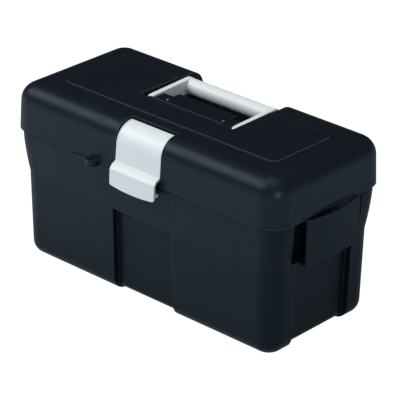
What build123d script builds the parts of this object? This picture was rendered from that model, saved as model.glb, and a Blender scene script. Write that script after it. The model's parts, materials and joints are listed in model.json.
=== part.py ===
"""Plastic toolbox with a hinged lid, a front latch, a folding carry handle and a lift-out tray.

Frame: the origin is the centre of the flat base, +X runs along the box, -Y is the latch side
and +Z is up. All sizes are in millimetres.
"""
from build123d import *

import os
from math import atan, degrees

os.makedirs("parts", exist_ok=True)

# ---------------------------------------------------------------- driving dimensions
LENGTH = 400.0          # lid, measured at its lower edge
DEPTH = 185.4
RIM_Z = 160.6           # lower edge of the lid
TOP_Z = 215.6           # top of the lid, beside the raised panel
WALL = 2.6              # moulded wall of tub and lid
GAP = 0.3               # clear space between parts that pass each other

LID_DRAFT = 0.044       # inward lean of the lid walls, mm per mm of height
LID_CORNER = 26.0       # plan radius of the lid corners
LID_ROUND = 22.0        # rounding between lid walls and lid top

TUB_STEP = 3.2          # how far the tub stands back from the lid edge
TUB_CORNER = 23.0
BAND_Z = 105.8          # crease below the curved band under the lid
BAND_INSET = 5.0        # how far the band curves in between lid edge and crease
BAND_POWER = 1.6
TUB_DRAFT = 0.024
BASE_ROUND = 17.0
TONGUE = 3.0            # tub rim that stands up inside the lid
SHOULDER_Z = 157.2      # the tub wall steps back here, which leaves a groove under the lid
GROOVE = 1.2

BAY_DEPTH = 7.6         # recessed panels of the tub walls below the band
BAY_LIFT = 2.0          # their foot stands this far above the base
FRONT_BAY = (46.0, 45.4)        # half width at the wall face, and at the recess floor
END_BAY = (47.5, 46.9)

GRIP_FLOOR_Z = 108.4    # end grips: floor of the finger space behind the grip plate
GRIP_DEPTH = 7.6        # how far its back stands in from the wall face
GRIP_MOUTH = (57.0, 39.0)       # half width at the wall face, and at the back
GRIP_SCOOP = (1.7, 8.0)         # depth and height of the scoop in the lid above each grip
PLATE_HALF = 44.0       # grip plate, half its width
PLATE_END_X = 203.6     # outer face at its two upright edges
PLATE_BOW = 1.4
PLATE_WALL = 2.8
PLATE_TOP_Z = 160.9
PLATE_SAG = 3.6         # the middle of the plate's top edge is this much lower

PANEL_HALF = (159.0, 48.0)      # raised panel on the lid
PANEL_RISE = 1.1

HINGE_Y = 97.0          # lid hinge axis
KNUCKLE_R = 4.2
HINGE_PIN_R = 2.0
HINGE_X = (-112.0, 112.0)
KNUCKLE_LENGTH = 13.0

LATCH_HALF = 33.6
LATCH_WALL = 2.4
ARC_Y, ARC_Z, ARC_R = -67.5, 190.0, 23.0        # outer face of the latch's curved part
LATCH_PIN = (-69.7, 207.3)                      # y, z of the latch's pin
LATCH_PIN_R = 1.5
LATCH_POCKET_R = 7.6
LATCH_BACK_Y = -63.2            # rear end of the latch channel
LATCH_LOW_Z = 145.6             # lower corners of the latch
LATCH_PIN_HALF = 36.4
CATCH_Y = -93.4                 # lip on the tub that the latch hooks under

HANDLE_PIVOT = (-2.0, 207.5)    # y, z of the carry handle's pivots
GRIP_AXIS = (59.0, 205.7)
GRIP_R = 9.8
ARM_R = 6.0
ARM_X = (60.0, 67.0)
STUB_R = 3.0
POCKET_HALF = 70.5              # handle pocket in the lid
POCKET_FRONT_Y = -13.0
POCKET_BEVEL = 1.3              # bevel along the pocket's front edge
SHELF_BACK_Y = 12.0
SHELF_FLOOR_Z = 198.4
WELL_FLOOR_Z = 188.0
SADDLE_X = (36.0, 59.3)         # bearing blocks for the handle's stub pins
SADDLE_Y = (-8.5, 6.0)
RETAINER_TOP_Z = 212.5
RETAINER_WALL = 2.6
SCREW_X, SCREW_Y = 42.0, 1.5
SCREW_R = 1.5
SCREW_HEAD = (2.2, 1.5, 0.9)    # radius at its foot, radius at its top, height

EYE_X = -66.5                   # padlock eye, one tab on the lid and one on the tub
EYE_Y = -96.0
EYE_R = 7.5
EYE_HOLE_R = 3.0
EYE_TAB = 3.4
NOTCH_X = (-99.0, -86.0, -71.5)         # finger notch beside the eye, in the lid's lower edge
NOTCH_RISE = (7.0, 4.4)         # its height, on the wall's outside and inside

TRAY_TOP_Z = 158.0
TRAY_FLOOR_Z = 112.0
TRAY_HALF = (181.0, 85.6)
TRAY_LEAN = 3.5                 # each side leans in by this much from rim to floor
TRAY_WALL = 2.0
TRAY_CORNER = 14.0
TRAY_SPINE_Z = 157.0            # top of the tray's middle wall
TRAY_BAR_R = 5.0
TRAY_SLOT = (46.0, 122.0, 146.0)        # hand slot: half length, lower and upper edge
LEDGE_X = (110.0, 150.0)        # shelves inside the tub that carry the tray
LEDGE_REACH = 7.0
DIVIDER_X = (-95.0, 0.0, 95.0)
DIVIDER_WALL = 1.6
DIVIDER_TOP_Z = 153.0
RIB_TOP_Z = 150.0
SLOT_STEP = 1.9                 # ribs that hold a divider stand this far either side of it


def save(part, label):
    """Name a finished piece and write it as one STEP file."""
    part.label = label
    export_step(part, f"parts/{label}.step")


def band_inset(z):
    """Inward offset of the tub wall from the lid edge, at a height."""
    if z >= RIM_Z:
        return TUB_STEP
    if z >= BAND_Z:
        share = (RIM_Z - z) / (RIM_Z - BAND_Z)
        return TUB_STEP + BAND_INSET * share**BAND_POWER
    return TUB_STEP + BAND_INSET + TUB_DRAFT * (BAND_Z - z)


def outline(inset, radius):
    """The box's plan, moved inwards by inset."""
    RectangleRounded(LENGTH - 2 * inset, DEPTH - 2 * inset, radius)


# ---------------------------------------------------------------- tub
def tub_core(skin, base_z):
    """The tub's plain form, moved inwards by skin, with its underside at base_z."""
    radius = TUB_CORNER - skin
    height = BAND_Z - base_z
    with BuildPart() as core:
        with BuildSketch(Plane.XY.offset(base_z)):
            outline(band_inset(base_z) + skin, radius - TUB_DRAFT * height)
        extrude(amount=height, taper=-degrees(atan(TUB_DRAFT)))
        fillet(core.edges().group_by(Axis.Z)[0], BASE_ROUND - skin)
        for z in (BAND_Z, 120.0, 133.0, 146.0, SHOULDER_Z):
            with BuildSketch(Plane.XY.offset(z)):
                outline(band_inset(z) + skin, radius)
        loft()
        step = max(GROOVE, skin)
        with BuildSketch(Plane.XY.offset(SHOULDER_Z)):
            outline(TUB_STEP + step, TUB_CORNER - step)
        extrude(amount=RIM_Z + TONGUE + skin - SHOULDER_Z)
    return core.part


def bay_prism(face_half, floor_half, reach, face, low, high):
    """A block whose flanks slope from the wall face to the recess floor, open outwards."""
    slope = (face_half - floor_half) / BAY_DEPTH
    outer, inner = reach + 40.0, face - 3 * BAY_DEPTH
    wide = face_half + slope * (outer - face)
    narrow = face_half - slope * (face - inner)
    with BuildPart() as prism:
        with BuildSketch(Plane.XY.offset(low)):
            with BuildLine():
                Polyline((-wide, -outer), (wide, -outer), (narrow, -inner), (-narrow, -inner),
                         close=True)
            make_face()
        extrude(amount=high - low)
    return prism.part


def all_bays(skin):
    """The recessed panels' cutting blocks on the four sides of the tub."""
    front_face = DEPTH / 2 - band_inset(BAND_Z)
    end_face = LENGTH / 2 - band_inset(BAND_Z)
    top = BAND_Z + skin
    front = bay_prism(FRONT_BAY[0] + skin, FRONT_BAY[1] + skin, DEPTH / 2, front_face, -10, top)
    end = bay_prism(END_BAY[0] + skin, END_BAY[1] + skin, LENGTH / 2, end_face, -10, top)
    with BuildPart() as bays:
        add(front)
        add(front, rotation=(0, 0, 180))
        add(end, rotation=(0, 0, 90))
        add(end, rotation=(0, 0, -90))
    return bays.part


def grip_outline(z, skin):
    """Plan of one end's finger space at a height: its flanks slope in from the wall face."""
    face = LENGTH / 2 - band_inset(z)
    back = face - GRIP_DEPTH
    mouth, deep = (half + skin for half in GRIP_MOUTH)
    with BuildSketch(Plane.XY.offset(z)) as plan:
        with BuildLine():
            Polyline((back - 10, -deep), (back, -deep), (face, -mouth), (face + 30, -mouth),
                     (face + 30, mouth), (face, mouth), (back, deep), (back - 10, deep),
                     close=True)
        make_face()
    return plan.sketch


def grip_space(skin):
    """The finger space behind each end grip plate, up through the rim."""
    low, high = GRIP_FLOOR_Z - skin, RIM_Z + 20
    backing = tub_core(skin + GRIP_DEPTH, skin)
    with BuildPart() as space:
        add(grip_outline(low, skin))
        add(grip_outline(high, skin))
        loft(ruled=True)
        mirror(about=Plane.YZ)
        add(backing, mode=Mode.SUBTRACT)
    return space.part


def tub_form(skin):
    """The tub's form with its recesses, moved inwards by skin: outside or cavity."""
    deeper = tub_core(skin + BAY_DEPTH, skin + BAY_LIFT)
    bays = all_bays(skin)
    with BuildPart() as cutter:
        add(bays)
        add(deeper, mode=Mode.SUBTRACT)
    with BuildPart() as form:
        add(tub_core(skin, skin))
        add(cutter.part, mode=Mode.SUBTRACT)
        add(grip_space(skin), mode=Mode.SUBTRACT)
    return form.part


def end_grip(side):
    """The bowed plate of one end grip and the ledge that joins it to the tub."""
    inner_x = PLATE_END_X - PLATE_WALL
    ledge_low = GRIP_FLOOR_Z - WALL
    root_x = LENGTH / 2 - band_inset(GRIP_FLOOR_Z) - WALL
    tub = tub_form(0)
    with BuildPart() as plate:
        with BuildSketch(Plane.XY.offset(ledge_low)):
            with BuildLine():
                ThreePointArc((PLATE_END_X, -PLATE_HALF), (PLATE_END_X + PLATE_BOW, 0),
                              (PLATE_END_X, PLATE_HALF))
                Line((PLATE_END_X, PLATE_HALF), (inner_x, PLATE_HALF))
                ThreePointArc((inner_x, PLATE_HALF), (inner_x + PLATE_BOW, 0),
                              (inner_x, -PLATE_HALF))
                Line((inner_x, -PLATE_HALF), (PLATE_END_X, -PLATE_HALF))
            make_face()
        extrude(amount=PLATE_TOP_Z - ledge_low)
        fillet(plate.edges().filter_by(Axis.Z), 1.2)
        with BuildSketch(Plane.YZ.offset(inner_x - 5)):
            with BuildLine():
                ThreePointArc((-PLATE_HALF, PLATE_TOP_Z), (0, PLATE_TOP_Z - PLATE_SAG),
                              (PLATE_HALF, PLATE_TOP_Z))
                Line((PLATE_HALF, PLATE_TOP_Z), (-PLATE_HALF, PLATE_TOP_Z))
            make_face()
        extrude(amount=15, mode=Mode.SUBTRACT)
        with BuildSketch(Plane.XY.offset(ledge_low)):
            with BuildLine():
                Polyline((root_x, -PLATE_HALF), (PLATE_END_X - 1, -PLATE_HALF),
                         (PLATE_END_X - 1, PLATE_HALF), (root_x, PLATE_HALF), close=True)
            make_face()
        extrude(amount=WALL)
        add(tub, mode=Mode.SUBTRACT)
    with BuildPart() as grip:
        add(plate.part)
        if side < 0:
            mirror(about=Plane.YZ, mode=Mode.REPLACE)
    return grip.part


def eye_tab(low, wall):
    """One tab of the padlock eye, with its root shaped to the wall it stands on."""
    root = EYE_R + 1
    with BuildPart() as tab:
        with BuildSketch(Plane.XY.offset(low)):
            with Locations((EYE_X, EYE_Y)):
                Circle(EYE_R)
            with Locations((EYE_X, EYE_Y + root / 2)):
                Rectangle(2 * EYE_R, root)
            with Locations((EYE_X, EYE_Y)):
                Circle(EYE_HOLE_R, mode=Mode.SUBTRACT)
        extrude(amount=EYE_TAB)
        add(wall, mode=Mode.SUBTRACT)
    return tab.part


def padlock_tab_lower():
    """The eye's tab on the tub, seated on the groove's shoulder."""
    return eye_tab(RIM_Z - GAP - EYE_TAB, tub_core(0, 0))


def padlock_tab_upper():
    """The eye's tab on the lid."""
    return eye_tab(RIM_Z + GAP, lid_core(0, RIM_Z))


def knuckle(middle_x, length, arm_low, arm_high, arm_y):
    """A hinge barrel on the lid axis with the arm that joins it to its wall."""
    with BuildPart() as barrel:
        with Locations((middle_x, HINGE_Y, RIM_Z)):
            Cylinder(KNUCKLE_R, length, rotation=(0, 90, 0))
        arm_mid = (arm_low + arm_high) / 2
        with Locations((middle_x, (arm_y + HINGE_Y) / 2, arm_mid)):
            Box(length, HINGE_Y - arm_y, arm_high - arm_low)
    return barrel.part


def tray_ledges():
    """Four shelves inside the long walls that carry the tray."""
    low, high = TRAY_FLOOR_Z - 22, TRAY_FLOOR_Z - 0.1
    wall_y = DEPTH / 2 - band_inset(BAND_Z) - WALL
    with BuildPart() as ledges:
        with BuildSketch(Plane.YZ.offset(LEDGE_X[0])):
            with BuildLine():
                Polyline((wall_y + 1, low), (wall_y + 3, high), (wall_y - LEDGE_REACH, high),
                         (wall_y - LEDGE_REACH, high - 2.5), close=True)
            make_face()
        extrude(amount=LEDGE_X[1] - LEDGE_X[0])
        mirror(about=Plane.YZ)
        mirror(about=Plane.XZ)
    return ledges.part


def base_tub():
    """Tub with recessed panels, grip spaces, hinge barrels, latch catch and tray ledges."""
    outside = tub_form(0)
    cavity = tub_form(WALL)
    ledges = tray_ledges()
    side = KNUCKLE_LENGTH + GAP
    barrels = [knuckle(x + shift, KNUCKLE_LENGTH, RIM_Z - 6, RIM_Z - GAP, DEPTH / 2 - TUB_STEP - 1)
               for x in HINGE_X for shift in (-side, side)]
    with BuildPart() as tub:
        add(outside)
        with BuildSketch(Plane.YZ.offset(-LATCH_HALF + 1)):
            with BuildLine():
                Polyline((-88.0, 150.0), (-89.8, 152.5), (CATCH_Y, 153.8), (CATCH_Y, 155.4),
                         (-90.5, SHOULDER_Z), (-88.0, SHOULDER_Z), close=True)
            make_face()
        extrude(amount=2 * LATCH_HALF - 2)
        for barrel in barrels:
            add(barrel)
        add(cavity, mode=Mode.SUBTRACT)
        add(ledges)
        for x in HINGE_X:
            with Locations((x, HINGE_Y, RIM_Z)):
                Cylinder(HINGE_PIN_R, 3 * side, rotation=(0, 90, 0), mode=Mode.SUBTRACT)
    return tub.part


def hinge_pin(x):
    """Steel pin through the three barrels of one lid hinge."""
    length = 3 * KNUCKLE_LENGTH + 2 * GAP
    with BuildPart() as pin:
        with Locations((x, HINGE_Y, RIM_Z)):
            Cylinder(HINGE_PIN_R, length, rotation=(0, 90, 0))
        chamfer(pin.edges().filter_by(GeomType.CIRCLE), 0.5)
    return pin.part


# ---------------------------------------------------------------- lid
def lid_core(skin, low):
    """The lid's plain form, moved inwards and downwards by skin."""
    with BuildPart() as core:
        with BuildSketch(Plane.XY.offset(low)):
            outline(skin + LID_DRAFT * (low - RIM_Z), LID_CORNER - skin)
        extrude(amount=TOP_Z - skin - low, taper=degrees(atan(LID_DRAFT)))
        fillet(core.edges().group_by(Axis.Z)[-1], LID_ROUND - skin)
    return core.part


def latch_channel(skin):
    """The space in the lid's front that the latch lies in, with its curved floor."""
    radius = ARC_R - LATCH_WALL - GAP - skin
    half = LATCH_HALF + 0.8 + skin
    back_y = LATCH_BACK_Y + skin
    floor_y = ARC_Y - radius
    with BuildPart() as channel:
        with BuildSketch(Plane.YZ.offset(-half)):
            with BuildLine():
                Polyline((ARC_Y, ARC_Z + radius), (back_y, ARC_Z + radius), (back_y, 230),
                         (-130, 230), (-130, 160), (-96 + skin, 163.5 - skin),
                         (floor_y - 1.4, 169.6 - skin), (floor_y, ARC_Z))
                RadiusArc((floor_y, ARC_Z), (ARC_Y, ARC_Z + radius), radius)
            make_face()
        extrude(amount=2 * half)
        with Locations((0, LATCH_PIN[0], LATCH_PIN[1])):
            Cylinder(LATCH_POCKET_R + skin, 2 * half, rotation=(0, 90, 0))
    return channel.part


def handle_pocket(skin):
    """The space in the lid's top that the folded handle lies in, open to the rear."""
    half = POCKET_HALF + skin
    front, above = POCKET_FRONT_Y - skin, TOP_Z + 20
    bevel_low = TOP_Z - POCKET_BEVEL
    with BuildPart() as pocket:
        with BuildSketch(Plane.YZ.offset(-half)):
            with BuildLine():
                Polyline(
                    (front - above + bevel_low, above), (front, bevel_low),
                    (front, SHELF_FLOOR_Z - skin),
                    (SHELF_BACK_Y - skin, SHELF_FLOOR_Z - skin),
                    (SHELF_BACK_Y - skin, WELL_FLOOR_Z - skin),
                    (120, WELL_FLOOR_Z - skin), (120, above), close=True,
                )
            make_face()
        extrude(amount=2 * half)
    return pocket.part


def saddle_blocks(low, high):
    """Bearing blocks either side of the handle pocket, around the handle's stub pins."""
    wide = SADDLE_X[1] - SADDLE_X[0]
    middle = (SADDLE_X[1] + SADDLE_X[0]) / 2
    deep = SADDLE_Y[1] - SADDLE_Y[0]
    mid_y = (SADDLE_Y[1] + SADDLE_Y[0]) / 2
    with BuildPart() as blocks:
        for side in (-1, 1):
            with Locations((side * middle, mid_y, (low + high) / 2)):
                Box(wide, deep, high - low)
        with Locations((0, HANDLE_PIVOT[0], HANDLE_PIVOT[1])):
            Cylinder(STUB_R + 0.05, 140, rotation=(0, 90, 0), mode=Mode.SUBTRACT)
    return blocks.part


def grip_scoops():
    """Shallow scoops in the lid's lower edge above the two end grips."""
    depth, height = GRIP_SCOOP
    reach = PLATE_HALF - 2
    radius = (reach**2 + depth**2) / (2 * depth)
    end_x = LENGTH / 2 + radius - depth
    with BuildPart() as scoops:
        with Locations((end_x, 0, RIM_Z), (-end_x, 0, RIM_Z)):
            Cone(radius, radius - depth - LID_DRAFT * height, height,
                 align=(Align.CENTER, Align.CENTER, Align.MIN))
    return scoops.part


def finger_notch():
    """Notch through the lid's lower edge, beside the padlock eye."""
    start, knee, end = NOTCH_X
    low = RIM_Z - 0.5
    with BuildPart() as notch:
        for y, rise in ((DEPTH / 2 + 1, NOTCH_RISE[0]), (DEPTH / 2 - WALL - 0.5, NOTCH_RISE[1])):
            with BuildSketch(Plane.XZ.offset(y)):
                with BuildLine():
                    Polyline((start, low), (end, low), (end, RIM_Z + rise),
                             (knee, RIM_Z + rise - 0.8), close=True)
                make_face()
        loft(ruled=True)
    return notch.part


def lid_shell():
    """Lid with raised panel, latch channel, handle pocket, hinge barrels and padlock tab."""
    scoops = grip_scoops()
    notch = finger_notch()
    outside = lid_core(0, RIM_Z)
    cavity = lid_core(WALL, RIM_Z - 5)
    channel = latch_channel(0)
    channel_back = latch_channel(WALL)
    pocket = handle_pocket(0)
    pocket_back = handle_pocket(WALL)
    blocks = saddle_blocks(SHELF_FLOOR_Z - 1, HANDLE_PIVOT[1] - 0.1)
    barrels = [knuckle(x, KNUCKLE_LENGTH, RIM_Z + GAP, RIM_Z + 6, DEPTH / 2 - 1.5)
               for x in HINGE_X]
    with BuildPart() as hollow:
        add(cavity)
        add(channel_back, mode=Mode.SUBTRACT)
        add(pocket_back, mode=Mode.SUBTRACT)
    with BuildPart() as lid:
        add(outside)
        with BuildSketch(Plane.XY.offset(TOP_Z - 0.5)):
            RectangleRounded(2 * PANEL_HALF[0], 2 * PANEL_HALF[1], 9)
        extrude(amount=PANEL_RISE + 0.5)
        for barrel in barrels:
            add(barrel)
        add(hollow.part, mode=Mode.SUBTRACT)
        add(channel, mode=Mode.SUBTRACT)
        add(pocket, mode=Mode.SUBTRACT)
        add(scoops, mode=Mode.SUBTRACT)
        add(notch, mode=Mode.SUBTRACT)
        add(blocks)
        for x in HINGE_X:
            with Locations((x, HINGE_Y, RIM_Z)):
                Cylinder(HINGE_PIN_R + 0.05, 2 * KNUCKLE_LENGTH, rotation=(0, 90, 0),
                         mode=Mode.SUBTRACT)
        with Locations((0, LATCH_PIN[0], LATCH_PIN[1])):
            Cylinder(LATCH_PIN_R, 2 * LATCH_PIN_HALF, rotation=(0, 90, 0), mode=Mode.SUBTRACT)
        with Locations((-SCREW_X, SCREW_Y, SHELF_FLOOR_Z + 5), (SCREW_X, SCREW_Y, SHELF_FLOOR_Z + 5)):
            Cylinder(SCREW_R, 30, align=(Align.CENTER, Align.CENTER, Align.MIN),
                     mode=Mode.SUBTRACT)
    return lid.part


# ---------------------------------------------------------------- latch
def front_latch():
    """Latch plate that follows the lid's rounding, steps out over the rim and hooks below it."""
    inner_r = ARC_R - LATCH_WALL
    top_shift = 2.0
    outer_top = (ARC_Y + top_shift, ARC_Z + (ARC_R**2 - top_shift**2) ** 0.5)
    inner_top = (ARC_Y + top_shift, ARC_Z + (inner_r**2 - top_shift**2) ** 0.5)
    with BuildPart() as latch:
        with BuildSketch(Plane.YZ.offset(-LATCH_HALF)):
            with BuildLine():
                RadiusArc(outer_top, (ARC_Y - ARC_R, ARC_Z), -ARC_R)
                Polyline((ARC_Y - ARC_R, ARC_Z), (-91.9, 171.5), (-97.5, 169.0), (-101.0, 164.5),
                         (-101.2, 158.0), (-102.0, 142.5), (-99.6, 142.5), (-99.2, 149.6),
                         (-94.9, 149.9), (-93.8, 152.3), (-95.2, 152.9), (-96.6, 151.9),
                         (-99.1, 151.9), (-98.8, 158.0), (-98.6, 163.6), (-96.4, 166.9),
                         (-89.5, 170.0), (ARC_Y - inner_r, ARC_Z))
                RadiusArc((ARC_Y - inner_r, ARC_Z), inner_top, inner_r)
                Line(inner_top, outer_top)
            make_face()
        extrude(amount=2 * LATCH_HALF)
        with BuildSketch(Plane.XZ.offset(60)):
            with BuildLine():
                half = LATCH_HALF
                Polyline((-half, LATCH_LOW_Z), (-half, 230), (half, 230), (half, LATCH_LOW_Z))
                ThreePointArc((half, LATCH_LOW_Z), (0, LATCH_LOW_Z - 2.6), (-half, LATCH_LOW_Z))
            make_face()
            fillet(vertices().group_by(Axis.Y)[0], 3)
        extrude(amount=60, mode=Mode.INTERSECT)
        with Locations((0, LATCH_PIN[0], LATCH_PIN[1])):
            Cylinder(3.6, 2 * LATCH_HALF - 4, rotation=(0, 90, 0))
            Cylinder(LATCH_PIN_R + 0.05, 2 * LATCH_HALF, rotation=(0, 90, 0), mode=Mode.SUBTRACT)
    return latch.part


def latch_pin():
    """Steel pin that carries the latch in the lid."""
    with BuildPart() as pin:
        with Locations((0, LATCH_PIN[0], LATCH_PIN[1])):
            Cylinder(LATCH_PIN_R, 2 * LATCH_PIN_HALF, rotation=(0, 90, 0))
    return pin.part


# ---------------------------------------------------------------- carry handle
def carry_handle():
    """Handle moulded in one piece: two tapering arms, a round grip and two stub pins."""
    with BuildPart() as handle:
        for x in (-ARM_X[1], ARM_X[0]):
            with BuildSketch(Plane.YZ.offset(x)):
                with Locations(HANDLE_PIVOT):
                    Circle(ARM_R)
                with Locations(GRIP_AXIS):
                    Circle(GRIP_R)
                make_hull()
            extrude(amount=ARM_X[1] - ARM_X[0])
        outer_rims = handle.edges().filter_by(Plane.YZ).sort_by(Axis.X)
        fillet(outer_rims, 1.2)
        with Locations((0, GRIP_AXIS[0], GRIP_AXIS[1])):
            Cylinder(GRIP_R - 0.4, 2 * ARM_X[0] + 2, rotation=(0, 90, 0))
        for side in (-1, 1):
            with Locations((side * (ARM_X[0] - 3.5), HANDLE_PIVOT[0], HANDLE_PIVOT[1])):
                Cylinder(STUB_R, 9, rotation=(0, 90, 0))
    return handle.part


def handle_retainer():
    """Plate screwed over the handle's stub pins."""
    low = RETAINER_TOP_Z - RETAINER_WALL
    front = POCKET_FRONT_Y + 0.5
    blocks = saddle_blocks(HANDLE_PIVOT[1] + 0.1, low + 0.5)
    with BuildPart() as retainer:
        with BuildSketch(Plane.XY.offset(low)):
            with BuildLine():
                Polyline((-58.6, front), (58.6, front), (58.6, 12), (44, 12), (44, 22),
                         (-44, 22), (-44, 12), (-58.6, 12), close=True)
            make_face()
        extrude(amount=RETAINER_WALL)
        with Locations((0, 21, (low + WELL_FLOOR_Z) / 2 + 2)):
            Box(88, 2, low - WELL_FLOOR_Z - 4)
        chamfer(retainer.edges().group_by(Axis.Z)[-1], 0.6)
        add(blocks)
        with Locations((0, HANDLE_PIVOT[0], HANDLE_PIVOT[1])):
            Cylinder(STUB_R + 0.05, 140, rotation=(0, 90, 0), mode=Mode.SUBTRACT)
        with Locations((-SCREW_X, SCREW_Y, low - 10), (SCREW_X, SCREW_Y, low - 10)):
            Cylinder(SCREW_R + 0.1, 40, mode=Mode.SUBTRACT)
    return retainer.part


def retainer_screws():
    """The two screws that hold the retainer."""
    with BuildPart() as screws:
        with Locations((-SCREW_X, SCREW_Y, SHELF_FLOOR_Z + 5), (SCREW_X, SCREW_Y, SHELF_FLOOR_Z + 5)):
            Cylinder(SCREW_R, RETAINER_TOP_Z - SHELF_FLOOR_Z - 5,
                     align=(Align.CENTER, Align.CENTER, Align.MIN))
        with Locations((-SCREW_X, SCREW_Y, RETAINER_TOP_Z), (SCREW_X, SCREW_Y, RETAINER_TOP_Z)):
            Cone(*SCREW_HEAD, align=(Align.CENTER, Align.CENTER, Align.MIN))
    return screws.part


# ---------------------------------------------------------------- tray
def tray_block(skin, low, high):
    """The tray's plain form between two heights, moved inwards by skin."""
    with BuildPart() as block:
        for z in (low, high):
            lean = TRAY_LEAN * (TRAY_TOP_Z - z) / (TRAY_TOP_Z - TRAY_FLOOR_Z)
            with BuildSketch(Plane.XY.offset(z)):
                RectangleRounded(2 * (TRAY_HALF[0] - lean - skin),
                                 2 * (TRAY_HALF[1] - lean - skin), TRAY_CORNER - skin)
        loft(ruled=True)
    return block.part


def tray_spine():
    """The tray's middle wall: a grip bar over a hand slot, between two raised shoulders."""
    half_length = TRAY_HALF[0] - 2
    low = TRAY_FLOOR_Z + TRAY_WALL - 0.5
    slot_half, slot_low, slot_high = TRAY_SLOT
    with BuildPart() as spine:
        with BuildSketch(Plane.XZ.offset(-TRAY_WALL / 2)):
            with BuildLine():
                Polyline((-half_length, low), (half_length, low), (half_length, TRAY_SPINE_Z),
                         (-half_length, TRAY_SPINE_Z), close=True)
            make_face()
        extrude(amount=TRAY_WALL)
        with Locations((0, 0, TRAY_SPINE_Z - TRAY_BAR_R)):
            Cylinder(TRAY_BAR_R, 2 * slot_half + 24, rotation=(0, 90, 0))
        with BuildSketch(Plane.XZ.offset(-20)):
            with Locations((0, (slot_low + slot_high) / 2)):
                RectangleRounded(2 * slot_half, slot_high - slot_low, 8)
        extrude(amount=40, mode=Mode.SUBTRACT)
    return spine.part


def tray():
    """Open tray with a middle grip wall and ribs that hold six dividers."""
    outside = tray_block(0, TRAY_FLOOR_Z, TRAY_TOP_Z)
    inside = tray_block(TRAY_WALL, TRAY_FLOOR_Z + TRAY_WALL, TRAY_TOP_Z + 1)
    spine = tray_spine()
    rib_low = TRAY_FLOOR_Z + TRAY_WALL - 0.5
    with BuildPart() as fittings:
        add(spine)
        for x in DIVIDER_X:
            for y in (-TRAY_HALF[1] + 4, -1.5, 1.5, TRAY_HALF[1] - 4):
                for step in (-SLOT_STEP, SLOT_STEP):
                    with Locations((x + step, y, (rib_low + RIB_TOP_Z) / 2)):
                        Box(1.6, 10 if abs(y) > 5 else 3, RIB_TOP_Z - rib_low)
        add(outside, mode=Mode.INTERSECT)
    with BuildPart() as piece:
        add(outside)
        add(inside, mode=Mode.SUBTRACT)
        add(fittings.part)
    return piece.part


def divider(x, side):
    """Removable divider of one tray compartment, held between the ribs."""
    near = TRAY_WALL / 2 + GAP
    lean = TRAY_LEAN * (TRAY_TOP_Z - TRAY_FLOOR_Z - TRAY_WALL) / (TRAY_TOP_Z - TRAY_FLOOR_Z)
    far_low = TRAY_HALF[1] - lean - TRAY_WALL - GAP
    rise = DIVIDER_TOP_Z - TRAY_FLOOR_Z - TRAY_WALL
    far_high = far_low + TRAY_LEAN * rise / (TRAY_TOP_Z - TRAY_FLOOR_Z)
    low = TRAY_FLOOR_Z + TRAY_WALL
    with BuildPart() as sheet:
        with BuildSketch(Plane.YZ.offset(x - DIVIDER_WALL / 2)):
            with BuildLine():
                Polyline((side * near, low), (side * far_low, low),
                         (side * far_high, DIVIDER_TOP_Z), (side * near, DIVIDER_TOP_Z),
                         close=True)
            make_face()
            fillet(vertices().group_by(Axis.Y)[-1], 5)
        extrude(amount=DIVIDER_WALL)
    return sheet.part


if __name__ == "__main__":
    save(base_tub(), "base_tub")
    save(end_grip(-1), "end_grip_left")
    save(end_grip(1), "end_grip_right")
    save(hinge_pin(HINGE_X[0]), "hinge_pin_left")
    save(hinge_pin(HINGE_X[1]), "hinge_pin_right")
    save(padlock_tab_lower(), "padlock_tab_lower")
    save(padlock_tab_upper(), "padlock_tab_upper")
    save(lid_shell(), "lid_shell")
    save(front_latch(), "front_latch")
    save(latch_pin(), "latch_pin")
    save(carry_handle(), "carry_handle")
    save(handle_retainer(), "handle_retainer")
    save(retainer_screws(), "retainer_screws")
    save(tray(), "lift_out_tray")
    for side, row in ((-1, "front"), (1, "rear")):
        for number, divider_x in enumerate(DIVIDER_X, start=1):
            save(divider(divider_x, side), f"tray_divider_{row}_{number}")
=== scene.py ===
"""Looks of a moulded toolbox with a hinged lid, front latch, folding handle and lift-out tray."""

import json
from math import cos, pi, radians, sin

import bmesh
import bpy
from mathutils import Matrix, Vector


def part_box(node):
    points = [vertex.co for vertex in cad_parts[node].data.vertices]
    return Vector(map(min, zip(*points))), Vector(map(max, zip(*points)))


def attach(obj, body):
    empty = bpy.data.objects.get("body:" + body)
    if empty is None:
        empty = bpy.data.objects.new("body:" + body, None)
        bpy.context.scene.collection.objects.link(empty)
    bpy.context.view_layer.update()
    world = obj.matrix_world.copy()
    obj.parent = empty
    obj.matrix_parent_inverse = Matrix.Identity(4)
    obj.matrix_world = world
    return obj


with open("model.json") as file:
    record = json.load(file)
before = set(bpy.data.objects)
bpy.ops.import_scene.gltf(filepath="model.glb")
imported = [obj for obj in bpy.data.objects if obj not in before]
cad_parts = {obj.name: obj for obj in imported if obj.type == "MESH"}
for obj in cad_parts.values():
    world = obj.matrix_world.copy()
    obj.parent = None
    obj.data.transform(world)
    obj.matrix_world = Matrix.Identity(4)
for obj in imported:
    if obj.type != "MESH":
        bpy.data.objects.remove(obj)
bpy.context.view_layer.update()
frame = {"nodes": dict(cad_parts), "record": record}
scene = bpy.context.scene

LAMP_AIM = (0, 0, 0.1)          # metres, about the middle of the box
FLOOR_HALF = 60.0               # metres
EDGE_ROUNDING = 0.0006          # metres, the small rounding along moulded edges
WEAR_AND_HIGHLIGHT_REACH = 0.0012             # metres, how far from an edge the plastic is painted pale, partly as rubbed wear and partly as a painted edge highlight
LIP_HALF_LENGTH = 0.0575        # metres, the lip along the handle pocket
LIP_REAR_Y = -0.0128
LIP_WIDTH, LIP_RISE = 0.0020, 0.0014


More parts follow.
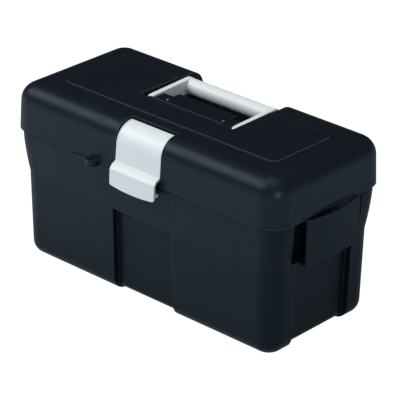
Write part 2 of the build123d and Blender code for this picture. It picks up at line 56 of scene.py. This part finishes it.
# ---------------------------------------------------------------- camera and lamps
def look_at(obj, spot, target, roll=0.0):
    """Place obj at spot with its -Z towards target and its top up, then rolled."""
    back = (spot - target).normalized()
    right = Vector((0, 0, 1)).cross(back).normalized()
    up = back.cross(right)
    turn = Matrix((right, up, back)).transposed().to_4x4()
    obj.matrix_world = Matrix.Translation(spot) @ turn @ Matrix.Rotation(roll, 4, "Z")


def direction(azimuth, elevation):
    """Unit vector towards a viewer: azimuth 0 is the latch side, 90 the right end."""
    a, e = radians(azimuth), radians(elevation)
    return Vector((sin(a) * cos(e), -cos(a) * cos(e), sin(e)))


def add_camera():
    lens_mm, distance = 215.4, 2.7117
    target = Vector((0.0015, 0.0088, 0.0992))
    data = bpy.data.cameras.new("camera")
    data.lens = lens_mm
    data.clip_end = 200
    camera = bpy.data.objects.new("camera", data)
    scene.collection.objects.link(camera)
    look_at(camera, target + direction(42.266, 25.981) * distance, target, radians(0.785))
    scene.camera = camera


def add_softbox(name, azimuth, elevation, distance, size, watts):
    data = bpy.data.lights.new(name, "AREA")
    data.shape = "RECTANGLE"
    data.size, data.size_y = size
    data.energy = watts
    box = bpy.data.objects.new(name, data)
    scene.collection.objects.link(box)
    aim = Vector(LAMP_AIM)
    look_at(box, aim + direction(azimuth, elevation) * distance, aim)
    return box


# ---------------------------------------------------------------- shader maths
class Value:
    """A shader number; arithmetic on it adds Math nodes."""

    def __init__(self, surface, socket):
        self.surface, self.socket = surface, socket

    def _math(self, operation, *terms):
        node = self.surface.node("ShaderNodeMath", {"operation": operation}, *terms)
        return Value(self.surface, node.outputs[0])

    def __add__(self, other):
        return self._math("ADD", self, other)

    def __radd__(self, other):
        return self._math("ADD", other, self)

    def __sub__(self, other):
        return self._math("SUBTRACT", self, other)

    def __rsub__(self, other):
        return self._math("SUBTRACT", other, self)

    def __mul__(self, other):
        return self._math("MULTIPLY", self, other)

    def __rmul__(self, other):
        return self._math("MULTIPLY", other, self)

    def __truediv__(self, other):
        return self._math("DIVIDE", self, other)

    def __rtruediv__(self, other):
        return self._math("DIVIDE", other, self)

    def clamped(self):
        return Value(self.surface, self.surface.node("ShaderNodeClamp", None, self).outputs[0])


class Surface:
    """One procedural material, built node by node."""

    def __init__(self, name):
        self.material = bpy.data.materials.new(name)
        self.material.use_nodes = True
        self.tree = self.material.node_tree
        self.shader = self.tree.nodes["Principled BSDF"]

    def node(self, kind, settings=None, *values, **named):
        """Add a node: its settings first, then values or links for its sockets."""
        node = self.tree.nodes.new(kind)
        for key, setting in (settings or {}).items():
            setattr(node, key, setting)
        for index, value in enumerate(values):
            self.put(node.inputs[index], value)
        for key, value in named.items():
            self.put(node.inputs[key.replace("_", " ")], value)
        return node

    def put(self, socket, value):
        if isinstance(value, Value):
            value = value.socket
        if isinstance(value, bpy.types.NodeSocket):
            self.tree.links.new(value, socket)
        else:
            socket.default_value = value

    def set(self, **named):
        """Feed the shader's own sockets."""
        for key, value in named.items():
            self.put(self.shader.inputs[key.replace("_", " ")], value)

    def place(self):
        return self.node("ShaderNodeTexCoord").outputs["Object"]

    def noise(self, scale, detail=2.0, rough=0.5, at=None):
        node = self.node("ShaderNodeTexNoise", None, Vector=at or self.place(), Scale=scale,
                         Detail=detail, Roughness=rough)
        return Value(self, node.outputs["Fac"])

    def streaks(self, stretch, scale, threshold):
        """Hairlines: noise drawn out along one axis, with all but its peaks cut off."""
        drawn = self.node("ShaderNodeMapping", None, self.place(), Scale=stretch)
        peaks = self.noise(scale, 5.0, 0.55, drawn.outputs["Vector"])
        return ((peaks - threshold) * 14).clamped()

    def edge_wear_and_highlight(self, radius):
        """0 on flat faces, towards 1 where the surface turns within the radius."""
        bevel = self.node("ShaderNodeBevel", {"samples": 4}, Radius=radius).outputs["Normal"]
        true = self.node("ShaderNodeNewGeometry").outputs["Normal"]
        along = self.node("ShaderNodeVectorMath", {"operation": "DOT_PRODUCT"}, bevel, true)
        return ((1 - Value(self, along.outputs["Value"])) * 6).clamped()

    def mix(self, amount, first, second):
        node = self.node("ShaderNodeMix", {"data_type": "RGBA"})
        self.put(node.inputs[0], amount)
        self.put(node.inputs[6], first)
        self.put(node.inputs[7], second)
        return node.outputs[2]

    def round_edges(self, radius):
        """A normal that rolls over sharp edges."""
        return self.node("ShaderNodeBevel", {"samples": 6}, Radius=radius).outputs["Normal"]

    def bump(self, height, distance, strength=1.0, normal=None):
        node = self.node("ShaderNodeBump", None, Height=height, Distance=distance,
                         Strength=strength)
        if normal:
            self.put(node.inputs["Normal"], normal)
        return node.outputs["Normal"]


# ---------------------------------------------------------------- finishes
def floor_paper():
    """White paper: bright where it is seen, and shaded off round the box in reflections."""
    s = Surface("floor_paper")
    spot = s.node("ShaderNodeNewGeometry").outputs["Position"]
    across = s.node("ShaderNodeSeparateXYZ", None, spot)
    x, y = Value(s, across.outputs[0]), Value(s, across.outputs[1])
    seen = s.node("ShaderNodeLightPath").outputs["Is Camera Ray"]
    front = ((-0.12 - y) * 2.2 - x * 0.9).clamped()
    side = ((x - 0.16) * 1.9).clamped()
    glow = s.mix((y * 9 + 1.2).clamped(),
                 s.mix(front, (0.50, 0.60, 0.64, 1), (1.04, 1.10, 1.22, 1)),
                 s.mix(side, (0.19, 0.23, 0.24, 1), (0.60, 0.71, 0.85, 1)))
    s.set(Base_Color=(0.02, 0.02, 0.02, 1), Roughness=1.0, Specular_IOR_Level=0.0,
          Emission_Color=s.mix(seen, glow, (1.05, 1.05, 1.05, 1)), Emission_Strength=1.0)
    return s.material


def dark_plastic(name="dark_plastic", shine=0.18):
    """Moulded black-blue plastic: spark-eroded grain, cloudy gloss, a few hairline scuffs."""
    s = Surface(name)
    mottle = s.noise(9, 3)
    cloud = s.noise(42, 4, 0.6)
    grain = s.noise(2200, 2, 0.6)
    orange_peel = s.noise(260, 2, 0.5)
    ripple = s.noise(38, 3, 0.5)
    scuffs = s.streaks((2.0, 26.0, 26.0), 9.0, 0.665)
    wear_and_highlight = s.edge_wear_and_highlight(WEAR_AND_HIGHLIGHT_REACH)
    base = s.mix(mottle, (0.0050, 0.0074, 0.0102, 1), (0.0068, 0.0094, 0.0124, 1))
    base = s.mix(scuffs * 0.35, base, (0.016, 0.019, 0.023, 1))
    # edges painted pale: partly rubbed wear, partly a painted highlight along the edges
    base = s.mix(wear_and_highlight * 0.85, base, (0.066, 0.076, 0.088, 1))
    # the blue specular tint is a painted reflection colour: it lays a bluish cast of light on the
    # gloss
    s.set(Base_Color=base, Roughness=0.28 + mottle * 0.10 + cloud * 0.08 + scuffs * 0.10,
          Specular_IOR_Level=shine, Specular_Tint=(0.50, 0.71, 1.0, 1),
          Normal=s.bump(grain + orange_peel * 0.8, 0.00006, 0.5,
                        s.bump(ripple, 0.0012, 0.5, s.round_edges(EDGE_ROUNDING))))
    return s.material


def light_plastic():
    """Pale grey plastic of the latch and handle, slightly handled."""
    s = Surface("light_plastic")
    mottle = s.noise(14, 3)
    grain = s.noise(1800, 2, 0.6)
    scuffs = s.streaks((3.0, 30.0, 30.0), 11.0, 0.66)
    smudge = (s.noise(30, 4, 0.65) * 3 - 1.6).clamped()
    base = s.mix(mottle, (0.60, 0.62, 0.62, 1), (0.64, 0.66, 0.655, 1))
    base = s.mix(scuffs * 0.3, base, (0.49, 0.51, 0.52, 1))
    base = s.mix(smudge * 0.35, base, (0.55, 0.57, 0.57, 1))
    s.set(Base_Color=base, Roughness=0.38 + mottle * 0.06 + smudge * 0.08,
          Normal=s.bump(grain, 0.00004, 0.4, s.round_edges(EDGE_ROUNDING)))
    return s.material


def tray_plastic():
    """Mid grey plastic of the tray and its dividers, dusty in the hollows of its grain."""
    s = Surface("tray_plastic")
    mottle = s.noise(14, 3)
    dust = (s.noise(60, 5, 0.7) * 2.5 - 0.9).clamped()
    grain = s.noise(1500, 2, 0.6)
    scuffs = s.streaks((24.0, 3.0, 24.0), 9.0, 0.66)
    base = s.mix(mottle, (0.28, 0.31, 0.33, 1), (0.33, 0.36, 0.38, 1))
    base = s.mix(dust * 0.25, base, (0.40, 0.40, 0.39, 1))
    base = s.mix(scuffs * 0.4, base, (0.22, 0.24, 0.26, 1))
    s.set(Base_Color=base, Roughness=0.42 + mottle * 0.06 + dust * 0.12,
          Normal=s.bump(grain, 0.00005, 0.4, s.round_edges(0.0005)))
    return s.material


def pin_steel():
    """Drawn steel wire: fine lines round it and a little tarnish."""
    s = Surface("pin_steel")
    lines = s.streaks((900.0, 30.0, 30.0), 1.0, 0.5)
    tarnish = s.noise(220, 4, 0.6)
    s.set(Base_Color=s.mix(tarnish, (0.20, 0.215, 0.24, 1), (0.11, 0.115, 0.125, 1)), Metallic=1.0,
          Roughness=0.32 + tarnish * 0.16, Normal=s.bump(lines, 0.00002, 0.5))
    return s.material


# ---------------------------------------------------------------- studio
def add_floor():
    half = FLOOR_HALF
    mesh = bpy.data.meshes.new("floor")
    mesh.from_pydata([(-half, -half, 0), (half, -half, 0), (half, half, 0), (-half, half, 0)],
                     [], [(0, 1, 2, 3)])
    floor = bpy.data.objects.new("floor", mesh)
    scene.collection.objects.link(floor)
    mesh.materials.append(floor_paper())


def add_world():
    """Dim blue surroundings, with a soft fill that only reaches matt surfaces."""
    world = bpy.data.worlds.new("studio")
    world.use_nodes = True
    tree = world.node_tree
    background = tree.nodes["Background"]
    background.inputs["Strength"].default_value = 1.0
    path = tree.nodes.new("ShaderNodeLightPath")
    fill = tree.nodes.new("ShaderNodeMix")
    fill.data_type = "RGBA"
    fill.inputs[6].default_value = (0.026, 0.029, 0.034, 1)
    fill.inputs[7].default_value = (0.42, 0.48, 0.51, 1)
    tree.links.new(path.outputs["Is Diffuse Ray"], fill.inputs[0])
    tree.links.new(fill.outputs[2], background.inputs["Color"])
    scene.world = world


add_camera()
add_floor()
add_world()
add_softbox("key", -52, 42, 3.0, (2.2, 1.4), 52)
add_softbox("overhead", 10, 84, 3.2, (2.6, 2.6), 44)
glint = add_softbox("corner", 66, 13, 3.0, (0.36, 0.36), 34)
# the glint lamp lights the lid alone, so that it leaves the latch and handle as they are
only_lid = bpy.data.collections.new("corner_light_reaches")
only_lid.objects.link(frame["nodes"]["lid_shell"])
glint.light_linking.receiver_collection = only_lid
scene.view_settings.view_transform = "Standard"
scene.view_settings.look = "None"


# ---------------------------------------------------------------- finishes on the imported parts
def paint(name, finish):
    """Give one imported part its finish."""
    materials = frame["nodes"][name].data.materials
    materials.clear()
    materials.append(finish)


finishes = {"box_plastic": dark_plastic(), "light_plastic": light_plastic(),
            "tray_plastic": tray_plastic(), "pin_steel": pin_steel()}
for part in frame["record"]["subparts"]:
    paint(part["node"], finishes[part["material_slot"]])
paint("handle_retainer", dark_plastic("retainer_plastic", 0.08))


# ---------------------------------------------------------------- lip along the handle pocket
def pocket_lip(half_length, rear_y, low_z, width, rise):
    """Thin half-round lip on the lid, along the front edge of the handle pocket."""
    steps, sink, taper = 10, 0.0006, 0.004
    sections = [(-half_length, 0.15), (-half_length + taper, 1.0),
                (half_length - taper, 1.0), (half_length, 0.15)]
    vertices, faces = [], []
    ring = steps + 3
    for x, height in sections:
        vertices.append((x, rear_y - width, low_z - sink))
        for step in range(steps + 1):
            angle = pi * step / steps
            vertices.append((x, rear_y - width / 2 - width / 2 * cos(angle),
                             low_z + rise * height * sin(angle)))
        vertices.append((x, rear_y, low_z - sink))
    for section in range(len(sections) - 1):
        near, far = section * ring, (section + 1) * ring
        for corner in range(ring):
            following = (corner + 1) % ring
            faces.append((near + corner, near + following, far + following, far + corner))
    last = (len(sections) - 1) * ring
    faces.append(tuple(reversed(range(ring))))
    faces.append(tuple(range(last, last + ring)))
    mesh = bpy.data.meshes.new("pocket_lip")
    mesh.from_pydata(vertices, [], faces)
    solid = bmesh.new()
    solid.from_mesh(mesh)
    bmesh.ops.recalc_face_normals(solid, faces=solid.faces)
    solid.to_mesh(mesh)
    solid.free()
    for face in mesh.polygons:
        face.use_smooth = len(face.vertices) == 4
    mesh.materials.append(finishes["box_plastic"])
    lip = bpy.data.objects.new("pocket_lip", mesh)
    scene.collection.objects.link(lip)
    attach(lip, "lid")


lid_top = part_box("lid_shell")[1][2]
pocket_lip(LIP_HALF_LENGTH, LIP_REAR_Y, lid_top, LIP_WIDTH, LIP_RISE)
